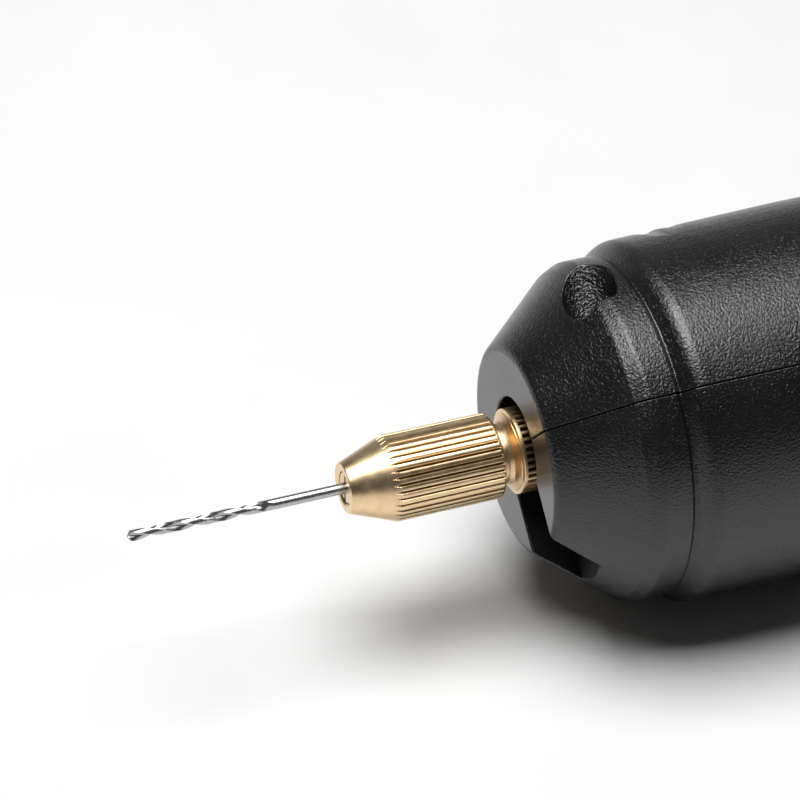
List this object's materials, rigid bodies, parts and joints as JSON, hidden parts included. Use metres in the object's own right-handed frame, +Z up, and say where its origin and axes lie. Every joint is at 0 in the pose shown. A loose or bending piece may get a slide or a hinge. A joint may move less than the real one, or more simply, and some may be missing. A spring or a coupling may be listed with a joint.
{
  "type": "mini hand drill with collet chuck",
  "caption": "Slim corded hand drill for model making: a two-shell round plastic body with a slide switch, and a fluted brass collet chuck that grips a small twist drill bit.",
  "frame": {"origin": "on the spindle axis, half way along the plain round barrel of the grip", "axes": "-X along the spindle towards the drill bit; +Z up, as the tool lies on its side with the shells' parting plane turned 45 degrees about the spindle, so that the slide switch faces +Y and +Z"},
  "size_m": [0.1411, 0.0348, 0.0348],
  "materials": {
    "shell": "fine spark-eroded grain, satin black moulded plastic",
    "screw": "zinc-plated steel",
    "can": "nickel-plated pressed steel",
    "motor_plastic": "moulded nylon",
    "bush": "sintered bronze",
    "magnet": "dull ferrite",
    "carbon": "copper-graphite",
    "tag": "tinned brass",
    "steel": "ground steel",
    "lamination": "stacked silicon steel",
    "copper": "enamelled copper",
    "brass": "machined pale brass, turning marks on the cone",
    "collet": "machined brass",
    "bit_steel": "polished high-speed steel",
    "switch_plastic": "moulded phenolic",
    "slider": "fine-grained moulded plastic",
    "inlet_plastic": "smooth black plastic",
    "ceramic": "dipped ceramic disc",
    "wire_red": "PVC insulation",
    "wire_black": "PVC insulation"
  },
  "bodies": {
    "housing": {"housing_upper": "shell", "housing_lower": "shell", "housing_screws": "screw", "motor_can": "can", "motor_end_cap": "motor_plastic", "motor_front_bush": "bush", "motor_rear_bush": "bush", "motor_magnets": "magnet", "motor_brushes": "carbon", "motor_terminals": "tag", "switch_body": "switch_plastic", "switch_tags": "tag", "jack_body": "inlet_plastic", "jack_pin": "tag", "jack_tags": "tag", "capacitor": "ceramic", "switch_wire": "wire_red", "return_wire": "wire_black", "inlet_wire": "wire_red"},
    "spindle": {"motor_shaft": "steel", "shaft_washers": "motor_plastic", "rotor_core": "lamination", "rotor_windings": "copper", "commutator": "copper", "chuck_body": "brass", "chuck_grub_screws": "screw"},
    "collet": {"collet": "collet"},
    "nut": {"chuck_nut": "brass"},
    "bit": {"drill_bit": "bit_steel"},
    "slider": {"switch_slider": "slider"}
  },
  "joints": [
    {"name": "spindle_spin", "type": "hinge", "parent": "housing", "child": "spindle", "pos_m": [0, 0, 0], "axis": [-1, 0, 0], "continuous": true},
    {"name": "collet_release", "type": "slide", "parent": "spindle", "child": "collet", "axis": [-1, 0, 0], "range_m": [0, 0.0015]},
    {"name": "nut_turn", "type": "hinge", "parent": "collet", "child": "nut", "pos_m": [0, 0, 0], "axis": [-1, 0, 0], "range_deg": [0, 1080]},
    {"name": "bit_pull", "type": "slide", "parent": "collet", "child": "bit", "axis": [-1, 0, 0], "range_m": [0, 0.0135]},
    {"name": "switch_slide", "type": "slide", "parent": "housing", "child": "slider", "axis": [-1, 0, 0], "range_m": [0, 0.004]}
  ],
  "couplings": [
    {"joint": "collet_release", "follows": "nut_turn", "m_per_rad": 0.00007957}
  ]
}
